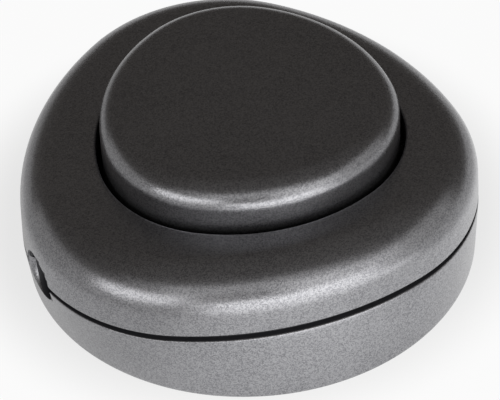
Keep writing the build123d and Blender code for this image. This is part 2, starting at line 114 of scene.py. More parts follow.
def edge(centre, radius, start, end, steps):
    """Points of a rounded edge in section, as inset and height, between two angles in degrees."""
    turns = [math.radians(start + (end - start) * step / steps) for step in range(steps + 1)]
    return [(centre[0] + radius * math.cos(turn), centre[1] + radius * math.sin(turn)) for turn in turns]


def node(tree, kind, inputs=None, output=0, **settings):
    """Add a node with its settings, link or set its inputs, and give one of its outputs."""
    added = tree.nodes.new(kind)
    for name, value in settings.items():
        setattr(added, name, value)
    for socket, value in (inputs or {}).items():
        if isinstance(value, bpy.types.NodeSocket):
            tree.links.new(value, added.inputs[socket])
        else:
            added.inputs[socket].default_value = value
    return added.outputs[output] if added.outputs else None


def moulded_tree():
    """Node tree that draws a skin through the rings of a profile, each ring made of six tangent arcs."""
    tree = bpy.data.node_groups.new("moulded_skin", "GeometryNodeTree")
    tree.interface.new_socket("Profile", in_out="INPUT", socket_type="NodeSocketGeometry")
    tree.interface.new_socket("Points Per Third", in_out="INPUT", socket_type="NodeSocketInt")
    tree.interface.new_socket("Finish", in_out="INPUT", socket_type="NodeSocketMaterial")
    tree.interface.new_socket("Skin", in_out="OUTPUT", socket_type="NodeSocketGeometry")
    given = tree.nodes.new("NodeGroupInput").outputs
    profile, per_third = given["Profile"], given["Points Per Third"]
    levels = node(tree, "GeometryNodeAttributeDomainSize", {"Geometry": profile}, "Point Count")
    around = node(tree, "ShaderNodeMath", {0: per_third, 1: 3.0, 2: 1.0}, operation="MULTIPLY_ADD")
    sheet = node(tree, "GeometryNodeMeshGrid", {"Vertices X": levels, "Vertices Y": around}, "Mesh")
    index = node(tree, "GeometryNodeInputIndex")
    row = node(tree, "FunctionNodeIntegerMath", {0: index, 1: around}, operation="DIVIDE_FLOOR")
    column = node(tree, "FunctionNodeIntegerMath", {0: index, 1: around}, operation="MODULO")
    place = node(tree, "ShaderNodeMath", {0: column, 1: per_third}, operation="DIVIDE")
    third = node(tree, "ShaderNodeMath", {0: place}, operation="FLOOR")
    share = node(tree, "ShaderNodeMath", {0: place}, operation="FRACT")
    ring = {}
    for key in body_ring(0, 0):
        value = node(tree, "GeometryNodeInputNamedAttribute", {"Name": key}, data_type="FLOAT")
        sampled = {"Geometry": profile, "Value": value, "Index": row}
        ring[key] = node(tree, "GeometryNodeSampleIndex", sampled, data_type="FLOAT")
    on_corner = node(
        tree, "FunctionNodeCompare", {0: share, 1: 0.5}, data_type="FLOAT", operation="LESS_THAN"
    )
    corner_start = node(tree, "ShaderNodeMath", {0: ring["half_angle"], 1: -1.0}, operation="MULTIPLY")
    side_end = node(tree, "ShaderNodeMath", {0: math.tau / 3, 1: ring["half_angle"]}, operation="SUBTRACT")
    corner_turn = node(
        tree,
        "ShaderNodeMapRange",
        {"Value": share, "From Max": 0.5, "To Min": corner_start, "To Max": ring["half_angle"]},
        clamp=False,
    )
    side_turn = node(
        tree,
        "ShaderNodeMapRange",
        {"Value": share, "From Min": 0.5, "To Min": ring["half_angle"], "To Max": side_end},
        clamp=False,
    )
    turn, distance, radius, centre_turn = [
        node(
            tree,
            "GeometryNodeSwitch",
            {"Switch": on_corner, "True": corner, "False": side},
            input_type="FLOAT",
        )
        for corner, side in (
            (corner_turn, side_turn),
            (ring["corner_distance"], ring["side_distance"]),
            (ring["corner_radius"], ring["side_radius"]),
            (0.0, 2 * math.tau / 3),
        )
    ]
    heading = node(
        tree, "ShaderNodeMath", {0: third, 1: math.tau / 3, 2: math.tau / 4}, operation="MULTIPLY_ADD"
    )
    point = node(tree, "ShaderNodeCombineXYZ", {"X": ring["centre_x"]})
    for length, extra in ((distance, centre_turn), (radius, turn)):
        ray = node(tree, "ShaderNodeCombineXYZ", {"X": length})
        angle = node(tree, "ShaderNodeMath", {0: heading, 1: extra}, operation="ADD")
        ray = node(tree, "ShaderNodeVectorRotate", {"Vector": ray, "Angle": angle}, rotation_type="Z_AXIS")
        point = node(tree, "ShaderNodeVectorMath", {0: point, 1: ray}, operation="ADD")
    across = node(tree, "ShaderNodeSeparateXYZ", {"Vector": point}, "Y")
    rise = node(
        tree, "ShaderNodeMath", {0: across, 1: ring["tilt"], 2: ring["height"]}, operation="MULTIPLY_ADD"
    )
    squared = node(tree, "ShaderNodeVectorMath", {0: point, 1: point}, "Value", operation="DOT_PRODUCT")
    fall = node(tree, "ShaderNodeMath", {0: squared, 1: ring["crown"]}, operation="MULTIPLY")
    rise = node(tree, "ShaderNodeMath", {0: rise, 1: fall}, operation="SUBTRACT")
    lift = node(tree, "ShaderNodeCombineXYZ", {"Z": rise})
    point = node(tree, "ShaderNodeVectorMath", {0: point, 1: lift}, operation="ADD")
    point = node(tree, "ShaderNodeVectorMath", {0: point, "Scale": mm}, operation="SCALE")
    sheet = node(tree, "GeometryNodeSetPosition", {"Geometry": sheet, "Position": point})
    sheet = node(tree, "GeometryNodeMergeByDistance", {"Geometry": sheet, "Distance": weld_distance})
    sheet = node(tree, "GeometryNodeRealizeInstances", {"Geometry": sheet})
    sheet = node(tree, "GeometryNodeSetMaterial", {"Geometry": sheet, "Material": given["Finish"]})
    node(tree, "NodeGroupOutput", {"Skin": sheet})
    return tree


def settle(piece):
    """Turn a piece and its modifiers into a plain mesh with its faces outwards."""
    evaluated = piece.evaluated_get(bpy.context.evaluated_depsgraph_get())
    finished = bpy.data.meshes.new_from_object(evaluated)
    piece.modifiers.clear()
    piece.data = finished
    for place in reversed(range(len(finished.materials))):
        if finished.materials[place] is None:
            finished.materials.pop(index=place)
    for carried_over in ("custom_normal", "sharp_edge"):
        if carried_over in finished.attributes:
            finished.attributes.remove(finished.attributes[carried_over])
    work = bmesh.new()
    work.from_mesh(finished)
    bmesh.ops.remove_doubles(work, verts=work.verts, dist=weld_distance)
    bmesh.ops.dissolve_degenerate(work, edges=work.edges, dist=weld_distance)
    bmesh.ops.recalc_face_normals(work, faces=work.faces)
    work.to_mesh(finished)
    work.free()


def new_piece(name, mesh):
    """Object at the origin for a mesh whose place is in its points."""
    piece = bpy.data.objects.new(name, mesh)
    bpy.context.scene.collection.objects.link(piece)
    return piece


def moulded(name, rings, finish, per_third=120):
    """Closed skin through the rings, from a one-point-per-ring profile."""
    profile = bpy.data.meshes.new(name)
    profile.from_pydata([(0, 0, 0)] * len(rings), [], [])
    for key in rings[0]:
        values = profile.attributes.new(key, "FLOAT", "POINT").data
        for value, ring in zip(values, rings):
            value.value = ring[key]
    piece = new_piece(name, profile)
    modifier = piece.modifiers.new("moulded_skin", "NODES")
    tree = bpy.data.node_groups.get("moulded_skin") or moulded_tree()
    modifier.node_group = tree
    sockets = {item.name: item.identifier for item in tree.interface.items_tree}
    modifier[sockets["Points Per Third"]] = per_third
    modifier[sockets["Finish"]] = finish
    settle(piece)
    return piece


def combine(piece, tool, operation):
    """Cut a tool out of a piece or join it on, and throw the tool away."""
    modifier = piece.modifiers.new("combine", "BOOLEAN")
    modifier.operation = operation
    modifier.solver = "EXACT"
    modifier.material_mode = "TRANSFER"
    modifier.object = tool
    settle(piece)
    bpy.data.objects.remove(tool)


def hollow(piece, blank, name):
    """Cut from a piece the room that the named solid leaves free in a blank, ribs and posts standing."""
    solid = new_piece(name + "_copy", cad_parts[name].data.copy())
    solid.data.materials.clear()
    solid.data.materials.append(bare_abs)
    settle(solid)
    combine(blank, solid, "DIFFERENCE")
    combine(piece, blank, "DIFFERENCE")


def turned(points, origin, direction, finish, segments=96):
    """Closed turned body from points along an axis, each with its radius, in millimetres."""
    work = bmesh.new()
    to_axis = Vector((0, 0, 1)).rotation_difference(Vector(direction)).to_matrix().to_4x4()
    place = Matrix.Translation(Vector(origin) * mm) @ to_axis
    loops = []
    for along, radius in points:
        turns = [math.tau * step / segments for step in range(segments)]
        ring = [(radius * math.cos(turn), radius * math.sin(turn), along) for turn in turns]
        loops.append([work.verts.new(place @ (Vector(corner) * mm)) for corner in ring])
    for low, high in zip(loops, loops[1:]):
        for step in range(segments):
            after = (step + 1) % segments
            work.faces.new((low[step], low[after], high[after], high[step]))
    work.faces.new(loops[0])
    work.faces.new(loops[-1])
    bmesh.ops.recalc_face_normals(work, faces=work.faces)
    mesh = bpy.data.meshes.new("turned")
    work.to_mesh(mesh)
    work.free()
    mesh.materials.append(finish)
    return new_piece("turned", mesh)


def leave_bare(piece, inside):
    """Leave the lacquer off the faces for which a test of their middle and their normal holds."""
    place = piece.data.materials.find(bare_abs.name)
    for face in piece.data.polygons:
        if inside(face.center / mm, face.normal):
            face.material_index = place


def shade(piece, angle=28):
    """Smooth shading that stays crisp at edges sharper than an angle in degrees."""
    piece.data.shade_smooth()
    piece.data.set_sharp_from_angle(angle=math.radians(angle))


def linear(code):
    """Colour of an sRGB hex code as linear red, green, blue and full opacity."""
    parts = [int(code[place : place + 2], 16) / 255 for place in (1, 3, 5)]
    return [part / 12.92 if part <= 0.04045 else ((part + 0.055) / 1.055) ** 2.4 for part in parts] + [1.0]


def new_material(name, metallic):
    """Empty material, with its node tree and its shader."""
    material = bpy.data.materials.new(name)
    material.use_nodes = True
    shader = material.node_tree.nodes["Principled BSDF"]
    shader.inputs["Metallic"].default_value = metallic
    return material, material.node_tree, shader


# Anthracite metallic lacquer on a spark-eroded skin: dark and satin, light where it mirrors something pale,
# with a tight grain that breaks the highlights into sparks. The real grain is nearer a tenth of a
# millimetre, so both sizes are drawn coarser to show.
flake_dark = "#717175"
flake_light = "#a8a8ab"
flake_size = 0.16
grain_size = 0.18
grain_depth = 0.006
flake_lean = 0.035
flake_middle = (0.5, 0.5, 0.5)
cloud_size = 9.0
cloud_share = 0.35
lacquer_roughness = (0.22, 0.38)
coat_weight = 0.4
coat_roughness = 0.22
lacquer, tree, shader = new_material("anthracite_metallic_lacquer", metallic=0.95)
spot = node(tree, "ShaderNodeTexCoord", output="Object")
flakes = node(tree, "ShaderNodeTexVoronoi", {"Vector": spot, "Scale": 1 / (flake_size * mm)}, output="Color")
flake = node(tree, "ShaderNodeSeparateColor", {"Color": flakes}, output="Red")
grain = node(tree, "ShaderNodeTexNoise", {"Vector": spot, "Scale": 1 / (grain_size * mm), "Detail": 2.0})
clouds = node(tree, "ShaderNodeTexNoise", {"Vector": spot, "Scale": 1 / (cloud_size * mm), "Detail": 3.0})
tone = node(
    tree,
    "ShaderNodeMath",
    {0: clouds, 1: cloud_share, 2: flake},
    operation="MULTIPLY_ADD",
    use_clamp=True,
)
colour = node(
    tree,
    "ShaderNodeMix",
    {"Factor": tone, 6: linear(flake_dark), 7: linear(flake_light)},
    2,
    data_type="RGBA",
)
smoothest, roughest = lacquer_roughness
rough = node(tree, "ShaderNodeMapRange", {"Value": grain, "To Min": smoothest, "To Max": roughest})
facing = node(tree, "ShaderNodeNewGeometry", output="Normal")
lean = node(tree, "ShaderNodeVectorMath", {0: flakes, 1: flake_middle}, operation="SUBTRACT")
lean = node(tree, "ShaderNodeVectorMath", {0: lean, "Scale": flake_lean}, operation="SCALE")
facet = node(tree, "ShaderNodeVectorMath", {0: facing, 1: lean}, operation="ADD")
facet = node(tree, "ShaderNodeVectorMath", {0: facet}, operation="NORMALIZE")
bump = node(
    tree, "ShaderNodeBump", {"Height": grain, "Strength": 1.0, "Distance": grain_depth * mm, "Normal": facet}
)
tree.links.new(colour, shader.inputs["Base Color"])
tree.links.new(rough, shader.inputs["Roughness"])
tree.links.new(bump, shader.inputs["Normal"])
shader.inputs["Coat Weight"].default_value = coat_weight
shader.inputs["Coat Roughness"].default_value = coat_roughness


def stock(name, dark, light, grain, roughness, relief, metallic=0.0, drawn=(1, 1, 1)):
    """Material with one grain in its colour, gloss and relief, in millimetres, drawn out by three factors."""
    material, tree, shader = new_material(name, metallic)
    spot = node(tree, "ShaderNodeTexCoord", output="Object")
    scale = [1 / (grain * mm * way) for way in drawn]
    spot = node(tree, "ShaderNodeMapping", {"Vector": spot, "Scale": scale})
    spread = node(tree, "ShaderNodeTexNoise", {"Vector": spot, "Scale": 1.0, "Detail": 4.0})
    colours = {"Factor": spread, 6: linear(dark), 7: linear(light)}
    colour = node(tree, "ShaderNodeMix", colours, 2, data_type="RGBA")
    swing = 0.2
    gloss = {"Value": spread, "To Min": (1 - swing) * roughness, "To Max": (1 + swing) * roughness}
    rough = node(tree, "ShaderNodeMapRange", gloss)
    bump = node(tree, "ShaderNodeBump", {"Height": spread, "Strength": 1.0, "Distance": relief * mm})
    tree.links.new(colour, shader.inputs["Base Color"])
    tree.links.new(rough, shader.inputs["Roughness"])
    tree.links.new(bump, shader.inputs["Normal"])
    return material


# Black ABS as it comes out of the mould, where the lacquer doesn't reach: near black, with a soft sheen and
# faint flow marks
bare_abs = stock("moulded_black_abs", "#2f2f32", "#414146", grain=1.2, roughness=0.5, relief=0.01)

foot = edge((foot_edge, foot_edge), foot_edge, 270, 180, steps=5)
rim = edge((rim_edge, parting_height - rim_edge), rim_edge, 180, 90, steps=4)
wall_heights = (1.0, 3.0, 5.0, 7.0, 9.0, 10.8)
base_skin = [pole(0.0), base_ring(2 * foot_edge, 0.0)]
base_skin += [base_ring(inset, height) for inset, height in foot]
base_skin += [base_ring(0.0, height) for height in wall_heights]
base_skin += [base_ring(inset, height) for inset, height in rim]
base_skin += [base_ring(2 * rim_edge, parting_height), base_ring(lip_skin, parting_height)]
base_skin += [base_ring(lip_skin, lip_top), pole(lip_top)]
base_blank = [pole(mid_wall), base_ring(mid_wall, mid_wall), base_ring(mid_wall, parting_height + skin)]
base_blank += [base_ring(lip_skin - 2 * skin, parting_height + skin)]
base_blank += [base_ring(lip_skin - 2 * skin, 2 * parting_height), pole(2 * parting_height)]

base = moulded("base_shell", base_skin, lacquer)
hollow(base, moulded("base_blank", base_blank, bare_abs), "base")

screw_inset = 6.1
screw_angles = (30, 150, 270)
screw_reach = body_reach - body_drop - screw_inset
well_radius = 2.7
past_skin = 1.0
screw_places = [
    (
        body_shift_x + screw_reach * math.cos(math.radians(angle)),
        screw_reach * math.sin(math.radians(angle)),
    )
    for angle in screw_angles
]
for x, y in screw_places:
    mouth = [(-past_skin, well_radius + skin), (mid_wall + past_skin, well_radius + skin)]
    well = turned(mouth, (x, y, 0), (0, 0, 1), bare_abs)
    combine(base, well, "DIFFERENCE")

inlet_y = -9.5
inlet_bore = 3.8
inlet_length = 9.0
base_flare = 1.6
lacquer_reach = 0.18
facing_down = -0.9


def inlet_cutter(side, flare):
    """Bore of a lead inlet with a bell mouth at the housing's skin."""
    corner_x = body["corner_distance"] * math.cos(math.radians(30))
    corner_y = -body["corner_distance"] * math.sin(math.radians(30))
    reach = corner_x + math.sqrt(body["corner_radius"] ** 2 - (inlet_y - corner_y) ** 2)
    bore = inlet_bore + skin
    bell = edge((flare, bore + flare), flare, 180, 270, steps=10)
    points = [(-flare, bore + flare)] + bell + [(inlet_length, bore)]
    return turned(points, (body_shift_x + side * reach, inlet_y, parting_height), (-side, 0, 0), lacquer)


def in_inlet(middle):
    """Whether a face lies in a lead inlet, past the stretch of its mouth that the lacquer reaches."""
    return math.hypot(middle.y - inlet_y, middle.z - parting_height) < inlet_bore + lacquer_reach


for side in (-1, 1):
    combine(base, inlet_cutter(side, base_flare), "DIFFERENCE")
leave_bare(
    base,
    lambda middle, normal: middle.z > parting_height - skin or normal.z < facing_down or in_inlet(middle),
)
shade(base)
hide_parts("base")
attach(base, "housing")

# Terminals and contacts. Brass strip, stamped and folded, pressed down over posts in the base, with a silver
# rivet on each live tongue and zinc-plated screws that clamp the conductors.
def dress(material, *names):
    """Give solids that keep their own mesh a finer material."""
    for name in names:
        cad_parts[name].material_slots[0].material = material


# Stamped brass: warm yellow with fine lines from rolling along the strip
rolled = (8, 1, 1)
brass = stock(
    "stamped_brass", "#b58a44", "#caa35c", 0.15, roughness=0.32, relief=0.004, metallic=1.0, drawn=rolled
)
# Silver alloy: pale and matt, a little grey where it has dulled
silver = stock("silver_alloy", "#bdbbb4", "#d8d6d0", 0.3, roughness=0.4, relief=0.003, metallic=1.0)
# Zinc plate on steel: cool grey with a soft cloudy bloom
zinc = stock("zinc_plated_steel", "#a4a8ac", "#c2c5c6", 0.5, roughness=0.35, relief=0.003, metallic=1.0)
dress(brass, "live_in_terminal", "live_out_terminal", "neutral_link", "earth_link")
dress(silver, "contact_rivets")
dress(zinc, "terminal_screws")

# Rotor. The indexing wheel, moulded in natural acetal, turns on a steel pin over a thrust washer and carries
# the brass contact bridge. A push-on clip keeps it down.
# Natural acetal: ivory white and waxy, with faint flow marks
acetal = stock("natural_acetal", "#ddd8c9", "#ece8dc", 2.0, roughness=0.42, relief=0.008)
dress(acetal, "rotor")
dress(zinc, "rotor_pin", "rotor_washer", "retaining_clip")
dress(brass, "contact_bridge")

# Guide bridge and return spring. The acetal bridge spans the rotor, held down by two screws, and keeps the
# plunger from turning. The spring, coiled from drawn wire, stands on it and lifts the button.
# Drawn spring wire: dark grey and smooth, with fine lines round the coil
coil_lines = (6, 6, 1)
spring_wire = stock(
    "drawn_spring_wire",
    "#66676a",
    "#8c8d90",
    0.12,
    roughness=0.3,
    relief=0.002,
    metallic=1.0,
    drawn=coil_lines,
)
dress(acetal, "guide_bridge")
dress(zinc, "bridge_screws")
wire_diameter = 1.2
spring_turns = 5
steps_per_turn = 72
wire_sides = 20
spring_low, spring_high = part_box("return_spring")
spring_length = (spring_high[2] - spring_low[2]) / mm


def coiled_tree():
    """Node tree that coils a round wire up from its lower end, with closed ends."""
    tree = bpy.data.node_groups.new("coiled_wire", "GeometryNodeTree")
    tree.interface.new_socket("Wire", in_out="INPUT", socket_type="NodeSocketGeometry")
    for name in ("Coil Radius", "Wire Radius", "Foot", "Rise", "Turns"):
        tree.interface.new_socket(name, in_out="INPUT", socket_type="NodeSocketFloat")
    tree.interface.new_socket("Steps", in_out="INPUT", socket_type="NodeSocketInt")
    tree.interface.new_socket("Finish", in_out="INPUT", socket_type="NodeSocketMaterial")
    tree.interface.new_socket("Spring", in_out="OUTPUT", socket_type="NodeSocketGeometry")
    given = tree.nodes.new("NodeGroupInput").outputs
    counted = {0: given["Turns"], 1: given["Steps"], 2: 1.0}
    count = node(tree, "ShaderNodeMath", counted, operation="MULTIPLY_ADD")
    line = node(tree, "GeometryNodeMeshLine", {"Count": count})
    index = node(tree, "GeometryNodeInputIndex")
    turned_by = node(tree, "ShaderNodeMath", {0: index, 1: given["Steps"]}, operation="DIVIDE")
    angle = node(tree, "ShaderNodeMath", {0: turned_by, 1: math.tau}, operation="MULTIPLY")
    share = node(tree, "ShaderNodeMath", {0: turned_by, 1: given["Turns"]}, operation="DIVIDE")
    height = node(
        tree, "ShaderNodeMath", {0: share, 1: given["Rise"], 2: given["Foot"]}, operation="MULTIPLY_ADD"
    )
    point = node(tree, "ShaderNodeCombineXYZ", {"X": given["Coil Radius"], "Z": height})
    point = node(tree, "ShaderNodeVectorRotate", {"Vector": point, "Angle": angle}, rotation_type="Z_AXIS")
    line = node(tree, "GeometryNodeSetPosition", {"Geometry": line, "Position": point})
    path = node(tree, "GeometryNodeMeshToCurve", {"Mesh": line})
    round_wire = {"Resolution": wire_sides, "Radius": given["Wire Radius"]}
    section = node(tree, "GeometryNodeCurvePrimitiveCircle", round_wire)
    coil = node(tree, "GeometryNodeCurveToMesh", {"Curve": path, "Profile Curve": section, "Fill Caps": True})
    coil = node(tree, "GeometryNodeRealizeInstances", {"Geometry": coil})
    coil = node(tree, "GeometryNodeSetMaterial", {"Geometry": coil, "Material": given["Finish"]})
    node(tree, "NodeGroupOutput", {"Spring": coil})
    return tree


spring_start = bpy.data.meshes.new("coiled_spring")
spring_start.from_pydata([(0, 0, 0)], [], [])
spring = new_piece("coiled_spring", spring_start)
modifier = spring.modifiers.new("coiled_wire", "NODES")
modifier.node_group = coiled_tree()
sockets = {item.name: item.identifier for item in modifier.node_group.interface.items_tree}
modifier[sockets["Coil Radius"]] = (spring_high[0] - spring_low[0] - wire_diameter * mm) / 2
modifier[sockets["Wire Radius"]] = wire_diameter * mm / 2
modifier[sockets["Foot"]] = spring_low[2] + wire_diameter * mm / 2
modifier[sockets["Rise"]] = (spring_length - wire_diameter) * mm
modifier[sockets["Turns"]] = float(spring_turns)
modifier[sockets["Steps"]] = steps_per_turn
modifier[sockets["Finish"]] = spring_wire
settle(spring)
shade(spring, angle=50)
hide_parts("return_spring")
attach(spring, "housing")
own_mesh(spring)

# Lead clamps. Two arched bars moulded in black glass-filled nylon, one behind each inlet, each drawn down on
# the lead by two screws.
# Glass-filled nylon: charcoal and dull, with the short fibres showing as pale flecks
fibres = (3, 1, 1)
nylon = stock("glass_filled_nylon", "#29292b", "#454548", 0.25, roughness=0.6, relief=0.012, drawn=fibres)
dress(nylon, "cord_clamp_left", "cord_clamp_right")
dress(zinc, "clamp_screws")

# Cover. The upper half of the housing, moulded and sprayed as the base is, with a wide rounded shoulder.
# A three-cornered collar in its flat top guides the button, and its rim stands a little clear of the base,
# more so at the flat side, so a dark parting line runs right round.
cover_top = 22.6
cover_draft = 0.3
cover_height = cover_top - parting_height
shoulder = 6.6
gap_back = 0.1
gap_front = 1.15
opening_land = 12.4
opening_reach = body_reach - opening_land
opening_drop = 1.5
opening_offset = 5.3
opening_edge = 0.4
collar_depth = 5.3
collar_bottom = cover_top - collar_depth
cover_flare = 0.3
cover_rim = 0.08
rim_land = 0.5
rim_inset = cover_draft * gap_front / cover_height
rim_tilt = (gap_back - gap_front) / (2 * body_reach - body_drop)
rim_level = parting_height + gap_back - rim_tilt * body_reach - skin
opening = outline(opening_reach, opening_drop, opening_offset)


def opening_ring(growth, height):
    """Outline of the button's opening, grown outwards or shrunk."""
    grown = {key: opening[key] + growth for key in ("corner_radius", "side_radius")}
    return opening | grown | {"centre_x": 0.0, "height": height, "tilt": 0.0, "crown": 0.0}


draft_angle = math.degrees(math.atan2(cover_draft, cover_height))
shoulder_inset = shoulder / math.cos(math.radians(draft_angle)) + cover_draft * (
    cover_top - shoulder - parting_height
) / cover_height
shoulder_centre = (shoulder_inset, cover_top - shoulder)
rim_round = edge((cover_rim, cover_rim), cover_rim, 270, 180, steps=3)
rim_overlap = 2.5
under_rim = parting_height - rim_overlap
in_opening = -0.5
blank_clearance = 0.1
in_blank = in_opening - blank_clearance
cover_skin = [body_ring(rim_land, rim_level, tilt=rim_tilt)]
cover_skin += [body_ring(rim_inset + inset, rim_level + rise, tilt=rim_tilt) for inset, rise in rim_round]
cover_skin += [body_ring(rim_inset, rim_level + 2 * cover_rim, tilt=rim_tilt)]
wall_shares = (0.45, 0.7, 0.9)
for share in wall_shares:
    rise = share * (shoulder_centre[1] - parting_height)
    cover_skin.append(body_ring(cover_draft * rise / cover_height, parting_height + rise))
shoulder_round = edge(shoulder_centre, shoulder, 180 - draft_angle, 90, steps=16)
cover_skin += [body_ring(inset, height) for inset, height in shoulder_round]
cover_skin += [body_ring(shoulder_inset + rim_edge, cover_top), opening_ring(2 * opening_edge, cover_top)]
collar_round = edge((opening_edge, cover_top - opening_edge), opening_edge, 90, 180, steps=5)
cover_skin += [opening_ring(growth, height) for growth, height in collar_round]
cover_skin += [opening_ring(0.0, cover_top - 2 * opening_edge), opening_ring(0.0, collar_bottom - skin)]
cover_skin += [opening_ring(in_opening, collar_bottom - skin), opening_ring(in_opening, under_rim)]
cover_skin += [body_ring(rim_land, under_rim), cover_skin[0]]

mid_collar = 0.7
mid_rebate = 0.35
rebate_roof = 14.7
cover_blank = [opening_ring(in_blank, under_rim - past_skin)]
cover_blank += [opening_ring(in_blank, collar_bottom - skin / 2)]
cover_blank += [opening_ring(mid_collar, collar_bottom - skin / 2)]
cover_blank += [opening_ring(mid_collar, cover_top - mid_wall)]
inner_round = edge(shoulder_centre, shoulder - mid_wall, 90, 180, steps=8)
cover_blank += [body_ring(inset, height) for inset, height in inner_round]
cover_blank += [body_ring(inner_round[-1][0], rebate_roof), body_ring(mid_rebate, rebate_roof)]
cover_blank += [body_ring(mid_rebate, under_rim - past_skin), cover_blank[0]]

cover = moulded("cover_shell", cover_skin, lacquer)
hollow(cover, moulded("cover_blank", cover_blank, bare_abs), "cover")
for side in (-1, 1):
    combine(cover, inlet_cutter(side, cover_flare), "DIFFERENCE")
leave_bare(cover, lambda middle, normal: normal.z < facing_down or in_inlet(middle))
shade(cover)
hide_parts("cover")
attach(cover, "housing")

# Button. The foot pushes this domed, three-cornered cap, moulded and sprayed as the shells are.
# Its skirt slides in the cover's collar with a narrow gap all round, and three lugs under the collar
# keep it from coming out.
button_top = 30.4
button_gap = 0.8
dome_radius = 300.0
button_edge = 3.6
skirt_bottom = 15.6
button_mid_wall = 1.2
button_mid_top = 28.2
lug_start = opening_reach - button_gap - button_mid_wall
lug_overlap = 0.7
lug_end = opening_reach + lug_overlap
lug_angles = (90, 210, 330)
lug_width = 4.0
lug_height = 1.4
button_reach = opening_reach - opening_drop / 2 - button_gap
edge_centre = button_reach - button_edge
edge_level = button_top - dome_radius + math.sqrt((dome_radius - button_edge) ** 2 - edge_centre**2)
dome_tilt = math.degrees(math.asin(edge_centre / (dome_radius - button_edge)))


def crowned_ring(inset, height):
    """Ring of the button whose height follows the dome, given for the mean reach of its outline."""
    crown = 1 / (2 * dome_radius)
    level = height + crown * (button_reach - inset) ** 2
    return opening_ring(-button_gap - inset, level) | {"crown": crown}


button_round = edge((button_edge, edge_level), button_edge, 180, 90 + dome_tilt, steps=14)
button_skin = [pole(skirt_bottom - skin), opening_ring(-button_gap, skirt_bottom - skin)]
skirt_shares = (0.3, 0.6, 0.9)
for share in skirt_shares:
    button_skin.append(opening_ring(-button_gap, skirt_bottom + share * (edge_level - skirt_bottom)))
button_skin += [crowned_ring(0.0, edge_level - rim_edge)]
button_skin += [crowned_ring(inset, height) for inset, height in button_round]
dome_rings = 8
dome_step = edge_centre / (dome_rings + 2)
for step in range(dome_rings):
    inset = button_edge + rim_edge + step * dome_step
    dome_height = button_top - (button_reach - inset) ** 2 / (2 * dome_radius)
    button_skin.append(crowned_ring(inset, dome_height))
button_skin += [pole(button_top)]
button_blank = [pole(skirt_bottom - past_skin)]
button_blank += [opening_ring(-button_gap - button_mid_wall, skirt_bottom - past_skin)]
button_blank += [opening_ring(-button_gap - button_mid_wall, button_mid_top), pole(button_mid_top)]

button = moulded("button_cap", button_skin, lacquer)
hollow(button, moulded("button_blank", button_blank, bare_abs), "button")
lugs = bmesh.new()
for angle in lug_angles:
    turn = Matrix.Rotation(math.radians(angle), 4, "Z")
    middle = Vector(((lug_start + lug_end) / 2, 0, skirt_bottom + skin + lug_height / 2)) * mm
    size = Matrix.Diagonal(Vector((lug_end - lug_start, lug_width, lug_height, 1 / mm)) * mm)
    bmesh.ops.create_cube(lugs, size=1.0, matrix=turn @ Matrix.Translation(middle) @ size)
lug_mesh = bpy.data.meshes.new("lugs")
lugs.to_mesh(lug_mesh)
lugs.free()
lug_mesh.materials.append(bare_abs)
combine(button, new_piece("lugs", lug_mesh), "UNION")
leave_bare(
    button,
    lambda middle, normal: normal.z < facing_down or middle.z < skirt_bottom + lug_height + skin,
)
shade(button)
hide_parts("button")
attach(button, "button")
dress(acetal, "plunger")

# Cover screws. Three slotted screws in zinc-plated steel, driven up through the wells in the foot into posts
# of the cover. Their slots end up turned at random.
head_bottom = 5.0
head_top = 6.5
head_radius = 2.4
head_edge = 0.5
shank_radius = 1.45
shank_end = 16.2
slot_width = 0.7
slot_depth = 0.7
screw_seed = 7


def driven_tree():
    """Node tree that sets a screw on each place, turned at random about its axis."""
    tree = bpy.data.node_groups.new("driven_screws", "GeometryNodeTree")
    tree.interface.new_socket("Places", in_out="INPUT", socket_type="NodeSocketGeometry")
    tree.interface.new_socket("Screw", in_out="INPUT", socket_type="NodeSocketObject")
    tree.interface.new_socket("Seed", in_out="INPUT", socket_type="NodeSocketInt")
    tree.interface.new_socket("Finish", in_out="INPUT", socket_type="NodeSocketMaterial")
    tree.interface.new_socket("Screws", in_out="OUTPUT", socket_type="NodeSocketGeometry")
    given = tree.nodes.new("NodeGroupInput").outputs
    points = node(tree, "GeometryNodeMeshToPoints", {"Mesh": given["Places"]})
    screw = node(tree, "GeometryNodeObjectInfo", {"Object": given["Screw"]}, "Geometry")
    turn = node(tree, "FunctionNodeRandomValue", {3: math.tau, "Seed": given["Seed"]}, 1, data_type="FLOAT")
    turn = node(tree, "ShaderNodeCombineXYZ", {"Z": turn})
    screws = node(
        tree, "GeometryNodeInstanceOnPoints", {"Points": points, "Instance": screw, "Rotation": turn}
    )
    screws = node(tree, "GeometryNodeRealizeInstances", {"Geometry": screws})
    screws = node(tree, "GeometryNodeSetMaterial", {"Geometry": screws, "Material": given["Finish"]})
    node(tree, "NodeGroupOutput", {"Screws": screws})
    return tree


head_round = edge((head_radius - head_edge, head_bottom + head_edge), head_edge, -90, 0, steps=6)
screw_points = [(height, radius) for radius, height in head_round]
screw_points += [(head_top, head_radius), (head_top, shank_radius)]
screw_points += [(shank_end - shank_radius / 2, shank_radius), (shank_end, shank_radius / 2)]
screw = turned(screw_points, (0, 0, 0), (0, 0, 1), zinc, segments=64)
slot_mesh = bpy.data.meshes.new("slot")
slot_work = bmesh.new()
slot_size = Matrix.Diagonal(Vector((4 * head_radius, slot_width, 2 * slot_depth, 1 / mm)) * mm)
bmesh.ops.create_cube(
    slot_work, size=1.0, matrix=Matrix.Translation(Vector((0, 0, head_bottom)) * mm) @ slot_size
)
slot_work.to_mesh(slot_mesh)
slot_work.free()
slot_mesh.materials.append(zinc)
combine(screw, new_piece("slot", slot_mesh), "DIFFERENCE")
place_mesh = bpy.data.meshes.new("driven_cover_screws")
place_mesh.from_pydata([Vector((x, y, 0)) * mm for x, y in screw_places], [], [])
cover_screws = new_piece("driven_cover_screws", place_mesh)
modifier = cover_screws.modifiers.new("driven_screws", "NODES")
